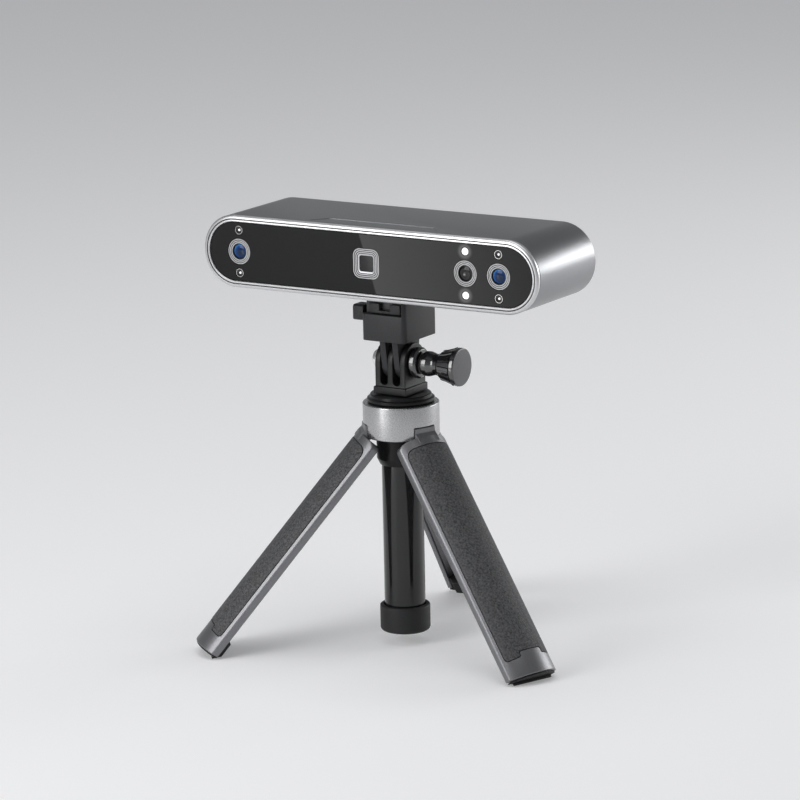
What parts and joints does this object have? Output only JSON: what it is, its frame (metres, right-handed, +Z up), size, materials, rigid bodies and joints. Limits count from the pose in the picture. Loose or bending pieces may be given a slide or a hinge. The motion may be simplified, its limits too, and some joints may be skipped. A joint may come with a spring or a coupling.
{
  "type": "handheld 3d scanner on folding tripod",
  "caption": "Stadium-shaped structured-light scanner with cameras behind black glass, on a tilting clip and a folding table tripod with a telescopic column.",
  "frame": {"origin": "centre of the footprint box at floor level, under the three spread feet", "axes": "+Z up along the column, X along the scanner's long side, -Y the way the glass front looks"},
  "size_m": [0.1574, 0.1444, 0.1717],
  "materials": {
    "grey_aluminium": "bead blasted, grey anodised",
    "polished_rim": "diamond cut and polished",
    "black_glass": "black backed gloss",
    "coated_lens": "coated gloss",
    "camera_ring": "satin grey",
    "chrome": "bright plated",
    "lamp_white": "translucent white",
    "circuit_board": "solder mask",
    "black_plastic": "satin moulded",
    "gloss_black": "gloss moulded",
    "gloss_black_metal": "gloss black anodised tube",
    "dark_steel": "blackened",
    "leg_grey": "metallic grey paint",
    "grip_rubber": "fine leather grain",
    "foot_rubber": "matt",
    "brass": "machined"
  },
  "bodies": {
    "column": {"collar": "grey_aluminium", "neck_bush": "black_plastic", "column_tube": "gloss_black_metal", "column_foot": "foot_rubber", "hinge_pin_right": "chrome", "hinge_pin_rear": "chrome", "hinge_pin_left": "chrome"},
    "right_leg": {"right_leg_shell": "leg_grey", "right_leg_pad": "grip_rubber", "right_leg_foot": "foot_rubber"},
    "rear_leg": {"rear_leg_shell": "leg_grey", "rear_leg_pad": "grip_rubber", "rear_leg_foot": "foot_rubber"},
    "left_leg": {"left_leg_shell": "leg_grey", "left_leg_pad": "grip_rubber", "left_leg_foot": "foot_rubber"},
    "lower_rod": {"lower_rod": "gloss_black_metal"},
    "upper_rod": {"upper_rod": "gloss_black_metal"},
    "pan_head": {"rod_head": "black_plastic", "quarter_inch_stud": "chrome", "tilt_fork": "black_plastic", "cap_nut": "chrome"},
    "clamp_washer": {"clamp_washer": "black_plastic"},
    "thumbscrew": {"thumbscrew": "gloss_black"},
    "scanner": {"head_housing": "grey_aluminium", "front_rim": "polished_rim", "front_glass": "black_glass", "rear_cover": "black_plastic", "front_chassis": "camera_ring", "left_depth_camera": "camera_ring", "left_depth_lens": "coated_lens", "color_camera": "camera_ring", "color_lens": "coated_lens", "right_depth_camera": "camera_ring", "right_depth_lens": "coated_lens", "projector_module": "camera_ring", "projector_window": "black_glass", "ir_lamp_left_upper": "chrome", "ir_lamp_left_lower": "chrome", "ir_lamp_right_upper": "chrome", "ir_lamp_right_lower": "chrome", "fill_light_upper": "lamp_white", "fill_light_lower": "lamp_white", "main_board": "circuit_board", "data_port": "chrome", "button_switch": "black_plastic", "status_light_guide": "lamp_white", "rear_screw_left": "dark_steel", "rear_screw_right": "dark_steel", "tripod_insert": "brass", "mount_shoe": "black_plastic", "shoe_screw": "chrome", "release_buckle": "black_plastic", "latch_clip": "black_plastic"},
    "start_button": {"start_button": "black_plastic"},
    "release_button": {"release_button": "black_plastic"}
  },
  "joints": [
    {"name": "right_leg_fold", "type": "hinge", "parent": "column", "child": "right_leg", "pos_m": [0.00885, -0.01601, 0.08795], "axis": [0.342, 0.9397, 0], "range_deg": [0, 39.4]},
    {"name": "rear_leg_fold", "type": "hinge", "parent": "column", "child": "rear_leg", "pos_m": [-0.00429, -0.00035, 0.08795], "axis": [-0.9848, -0.1736, 0], "range_deg": [0, 39.4]},
    {"name": "left_leg_fold", "type": "hinge", "parent": "column", "child": "left_leg", "pos_m": [-0.01128, -0.01955, 0.08795], "axis": [0.6428, -0.766, 0], "range_deg": [0, 39.4]},
    {"name": "lower_rod_extend", "type": "slide", "parent": "column", "child": "lower_rod", "axis": [0, 0, 1], "range_m": [0, 0.05]},
    {"name": "upper_rod_extend", "type": "slide", "parent": "lower_rod", "child": "upper_rod", "axis": [0, 0, 1], "range_m": [0, 0.05]},
    {"name": "head_pan", "type": "hinge", "parent": "upper_rod", "child": "pan_head", "pos_m": [-0.00224, -0.01197, 0.1019], "axis": [0, 0, 1], "continuous": true},
    {"name": "head_tilt", "type": "hinge", "parent": "pan_head", "child": "scanner", "pos_m": [-0.00224, -0.01197, 0.11465], "axis": [1, 0, 0], "range_deg": [-80, 80]},
    {"name": "clamp_slide", "type": "slide", "parent": "pan_head", "child": "clamp_washer", "axis": [1, 0, 0], "range_m": [0, 0.0016]},
    {"name": "thumbscrew_turn", "type": "hinge", "parent": "clamp_washer", "child": "thumbscrew", "pos_m": [0.00496, -0.01197, 0.11465], "axis": [1, 0, 0], "range_deg": [0, 720]},
    {"name": "release_slide", "type": "slide", "parent": "scanner", "child": "release_button", "axis": [1, 0, 0], "range_m": [0, 0.0014], "stiffness_N_per_m": 400},
    {"name": "start_button_press", "type": "slide", "parent": "scanner", "child": "start_button", "axis": [0, -1, 0], "range_m": [0, 0.0005], "stiffness_N_per_m": 1500}
  ],
  "couplings": [
    {"joint": "thumbscrew_turn", "follows": "clamp_slide", "rad_per_m": 7854}
  ]
}
